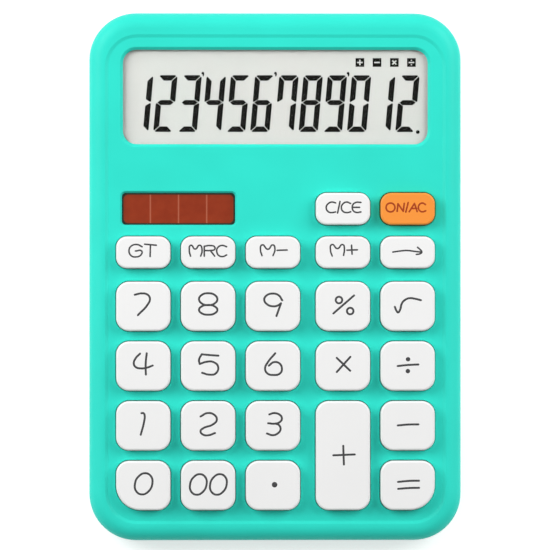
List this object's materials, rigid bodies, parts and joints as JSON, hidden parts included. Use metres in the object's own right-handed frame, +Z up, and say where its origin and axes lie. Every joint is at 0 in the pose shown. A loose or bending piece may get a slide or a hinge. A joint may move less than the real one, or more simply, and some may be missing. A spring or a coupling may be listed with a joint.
{
  "type": "desk calculator",
  "caption": "Wedge-shaped desk calculator: turquoise two-shell case, white press keys with one in orange, flush digit display, solar cell and a battery door underneath.",
  "frame": {"origin": "middle of the outline on the surface that the feet stand on", "axes": "+X to the right of the user, +Y from the user towards the display, +Z up"},
  "size_m": [0.1052, 0.1494, 0.0242],
  "materials": {
    "case_plastic": "turquoise moulded plastic, satin",
    "white_key_plastic": "white moulded key, satin",
    "orange_key_plastic": "orange moulded key, satin",
    "foot_rubber": "matte",
    "label_film": "blank silver film",
    "screw_steel": "zinc-plated",
    "clear_window": "clear acrylic",
    "black_tape": "foam tape",
    "polariser_film": "polarising film",
    "display_glass": "display glass",
    "reflector_film": "grey-green reflector",
    "bracket_plastic": "moulded plastic",
    "ribbon_film": "heat-seal film",
    "solar_glass": "dark red-brown cell under glass",
    "wire_insulation": "wire insulation",
    "silicone": "translucent silicone",
    "carbon_rubber": "carbon-filled rubber",
    "circuit_board": "paper laminate",
    "black_resin": "epoxy",
    "capacitor_sleeve": "sleeved can",
    "chip_ceramic": "ceramic",
    "cell_jacket": "plain jacket",
    "contact_metal": "nickel-plated",
    "legend_ink": "grey pad-printed ink of the key legends",
    "orange_legend_ink": "brown ink on the orange key",
    "display_segments": "dark segments of the display"
  },
  "bodies": {
    "case": {"upper_case": "case_plastic", "lower_case": "case_plastic", "rubber_feet": "foot_rubber", "rating_label": "label_film", "case_screws": "screw_steel", "display_window": "clear_window", "display_tape": "black_tape", "lcd_polariser": "polariser_film", "lcd_front_glass": "display_glass", "lcd_rear_glass": "display_glass", "lcd_reflector": "reflector_film", "lcd_bracket": "bracket_plastic", "bracket_screws": "screw_steel", "lcd_ribbon": "ribbon_film", "solar_cell": "solar_glass", "solar_tape": "black_tape", "solar_leads": "wire_insulation", "keypad_mat": "silicone", "contact_pills": "carbon_rubber", "main_board": "circuit_board", "board_screws": "screw_steel", "controller_blob": "black_resin", "capacitor": "capacitor_sleeve", "board_chips": "chip_ceramic", "battery_cell": "cell_jacket", "battery_spring": "contact_metal", "spring_contact": "contact_metal", "nub_contact": "contact_metal", "battery_leads": "wire_insulation"},
    "moving_key_0": {"key_0": "white_key_plastic"},
    "moving_key_00": {"key_00": "white_key_plastic"},
    "moving_key_point": {"key_point": "white_key_plastic"},
    "moving_key_plus": {"key_plus": "white_key_plastic"},
    "moving_key_equals": {"key_equals": "white_key_plastic"},
    "moving_key_1": {"key_1": "white_key_plastic"},
    "moving_key_2": {"key_2": "white_key_plastic"},
    "moving_key_3": {"key_3": "white_key_plastic"},
    "moving_key_minus": {"key_minus": "white_key_plastic"},
    "moving_key_4": {"key_4": "white_key_plastic"},
    "moving_key_5": {"key_5": "white_key_plastic"},
    "moving_key_6": {"key_6": "white_key_plastic"},
    "moving_key_times": {"key_times": "white_key_plastic"},
    "moving_key_divide": {"key_divide": "white_key_plastic"},
    "moving_key_7": {"key_7": "white_key_plastic"},
    "moving_key_8": {"key_8": "white_key_plastic"},
    "moving_key_9": {"key_9": "white_key_plastic"},
    "moving_key_percent": {"key_percent": "white_key_plastic"},
    "moving_key_root": {"key_root": "white_key_plastic"},
    "moving_key_grand_total": {"key_grand_total": "white_key_plastic"},
    "moving_key_memory_recall": {"key_memory_recall": "white_key_plastic"},
    "moving_key_memory_minus": {"key_memory_minus": "white_key_plastic"},
    "moving_key_memory_plus": {"key_memory_plus": "white_key_plastic"},
    "moving_key_backspace": {"key_backspace": "white_key_plastic"},
    "moving_key_clear": {"key_clear": "white_key_plastic"},
    "moving_key_on": {"key_on": "orange_key_plastic"},
    "sliding_door": {"battery_door": "case_plastic"}
  },
  "joints": [
    {"name": "press_key_0", "type": "slide", "parent": "case", "child": "moving_key_0", "axis": [0, -0.0874, 0.9962], "range_m": [-0.0015, 0], "stiffness_N_per_m": 300, "springref_m": 0.001, "deforming": ["keypad_mat", "contact_pills"]},
    {"name": "press_key_00", "type": "slide", "parent": "case", "child": "moving_key_00", "axis": [0, -0.0874, 0.9962], "range_m": [-0.0015, 0], "stiffness_N_per_m": 300, "springref_m": 0.001, "deforming": ["keypad_mat", "contact_pills"]},
    {"name": "press_key_point", "type": "slide", "parent": "case", "child": "moving_key_point", "axis": [0, -0.0874, 0.9962], "range_m": [-0.0015, 0], "stiffness_N_per_m": 300, "springref_m": 0.001, "deforming": ["keypad_mat", "contact_pills"]},
    {"name": "press_key_plus", "type": "slide", "parent": "case", "child": "moving_key_plus", "axis": [0, -0.0874, 0.9962], "range_m": [-0.0015, 0], "stiffness_N_per_m": 300, "springref_m": 0.001, "deforming": ["keypad_mat", "contact_pills"]},
    {"name": "press_key_equals", "type": "slide", "parent": "case", "child": "moving_key_equals", "axis": [0, -0.0874, 0.9962], "range_m": [-0.0015, 0], "stiffness_N_per_m": 300, "springref_m": 0.001, "deforming": ["keypad_mat", "contact_pills"]},
    {"name": "press_key_1", "type": "slide", "parent": "case", "child": "moving_key_1", "axis": [0, -0.0874, 0.9962], "range_m": [-0.0015, 0], "stiffness_N_per_m": 300, "springref_m": 0.001, "deforming": ["keypad_mat", "contact_pills"]},
    {"name": "press_key_2", "type": "slide", "parent": "case", "child": "moving_key_2", "axis": [0, -0.0874, 0.9962], "range_m": [-0.0015, 0], "stiffness_N_per_m": 300, "springref_m": 0.001, "deforming": ["keypad_mat", "contact_pills"]},
    {"name": "press_key_3", "type": "slide", "parent": "case", "child": "moving_key_3", "axis": [0, -0.0874, 0.9962], "range_m": [-0.0015, 0], "stiffness_N_per_m": 300, "springref_m": 0.001, "deforming": ["keypad_mat", "contact_pills"]},
    {"name": "press_key_minus", "type": "slide", "parent": "case", "child": "moving_key_minus", "axis": [0, -0.0874, 0.9962], "range_m": [-0.0015, 0], "stiffness_N_per_m": 300, "springref_m": 0.001, "deforming": ["keypad_mat", "contact_pills"]},
    {"name": "press_key_4", "type": "slide", "parent": "case", "child": "moving_key_4", "axis": [0, -0.0874, 0.9962], "range_m": [-0.0015, 0], "stiffness_N_per_m": 300, "springref_m": 0.001, "deforming": ["keypad_mat", "contact_pills"]},
    {"name": "press_key_5", "type": "slide", "parent": "case", "child": "moving_key_5", "axis": [0, -0.0874, 0.9962], "range_m": [-0.0015, 0], "stiffness_N_per_m": 300, "springref_m": 0.001, "deforming": ["keypad_mat", "contact_pills"]},
    {"name": "press_key_6", "type": "slide", "parent": "case", "child": "moving_key_6", "axis": [0, -0.0874, 0.9962], "range_m": [-0.0015, 0], "stiffness_N_per_m": 300, "springref_m": 0.001, "deforming": ["keypad_mat", "contact_pills"]},
    {"name": "press_key_times", "type": "slide", "parent": "case", "child": "moving_key_times", "axis": [0, -0.0874, 0.9962], "range_m": [-0.0015, 0], "stiffness_N_per_m": 300, "springref_m": 0.001, "deforming": ["keypad_mat", "contact_pills"]},
    {"name": "press_key_divide", "type": "slide", "parent": "case", "child": "moving_key_divide", "axis": [0, -0.0874, 0.9962], "range_m": [-0.0015, 0], "stiffness_N_per_m": 300, "springref_m": 0.001, "deforming": ["keypad_mat", "contact_pills"]},
    {"name": "press_key_7", "type": "slide", "parent": "case", "child": "moving_key_7", "axis": [0, -0.0874, 0.9962], "range_m": [-0.0015, 0], "stiffness_N_per_m": 300, "springref_m": 0.001, "deforming": ["keypad_mat", "contact_pills"]},
    {"name": "press_key_8", "type": "slide", "parent": "case", "child": "moving_key_8", "axis": [0, -0.0874, 0.9962], "range_m": [-0.0015, 0], "stiffness_N_per_m": 300, "springref_m": 0.001, "deforming": ["keypad_mat", "contact_pills"]},
    {"name": "press_key_9", "type": "slide", "parent": "case", "child": "moving_key_9", "axis": [0, -0.0874, 0.9962], "range_m": [-0.0015, 0], "stiffness_N_per_m": 300, "springref_m": 0.001, "deforming": ["keypad_mat", "contact_pills"]},
    {"name": "press_key_percent", "type": "slide", "parent": "case", "child": "moving_key_percent", "axis": [0, -0.0874, 0.9962], "range_m": [-0.0015, 0], "stiffness_N_per_m": 300, "springref_m": 0.001, "deforming": ["keypad_mat", "contact_pills"]},
    {"name": "press_key_root", "type": "slide", "parent": "case", "child": "moving_key_root", "axis": [0, -0.0874, 0.9962], "range_m": [-0.0015, 0], "stiffness_N_per_m": 300, "springref_m": 0.001, "deforming": ["keypad_mat", "contact_pills"]},
    {"name": "press_key_grand_total", "type": "slide", "parent": "case", "child": "moving_key_grand_total", "axis": [0, -0.0874, 0.9962], "range_m": [-0.0015, 0], "stiffness_N_per_m": 300, "springref_m": 0.001, "deforming": ["keypad_mat", "contact_pills"]},
    {"name": "press_key_memory_recall", "type": "slide", "parent": "case", "child": "moving_key_memory_recall", "axis": [0, -0.0874, 0.9962], "range_m": [-0.0015, 0], "stiffness_N_per_m": 300, "springref_m": 0.001, "deforming": ["keypad_mat", "contact_pills"]},
    {"name": "press_key_memory_minus", "type": "slide", "parent": "case", "child": "moving_key_memory_minus", "axis": [0, -0.0874, 0.9962], "range_m": [-0.0015, 0], "stiffness_N_per_m": 300, "springref_m": 0.001, "deforming": ["keypad_mat", "contact_pills"]},
    {"name": "press_key_memory_plus", "type": "slide", "parent": "case", "child": "moving_key_memory_plus", "axis": [0, -0.0874, 0.9962], "range_m": [-0.0015, 0], "stiffness_N_per_m": 300, "springref_m": 0.001, "deforming": ["keypad_mat", "contact_pills"]},
    {"name": "press_key_backspace", "type": "slide", "parent": "case", "child": "moving_key_backspace", "axis": [0, -0.0874, 0.9962], "range_m": [-0.0015, 0], "stiffness_N_per_m": 300, "springref_m": 0.001, "deforming": ["keypad_mat", "contact_pills"]},
    {"name": "press_key_clear", "type": "slide", "parent": "case", "child": "moving_key_clear", "axis": [0, -0.0874, 0.9962], "range_m": [-0.0015, 0], "stiffness_N_per_m": 300, "springref_m": 0.001, "deforming": ["keypad_mat", "contact_pills"]},
    {"name": "press_key_on", "type": "slide", "parent": "case", "child": "moving_key_on", "axis": [0, -0.0874, 0.9962], "range_m": [-0.0015, 0], "stiffness_N_per_m": 300, "springref_m": 0.001, "deforming": ["keypad_mat", "contact_pills"]},
    {"name": "battery_door_slide", "type": "slide", "parent": "case", "child": "sliding_door", "axis": [0, 1, 0], "range_m": [0, 0.014]}
  ]
}
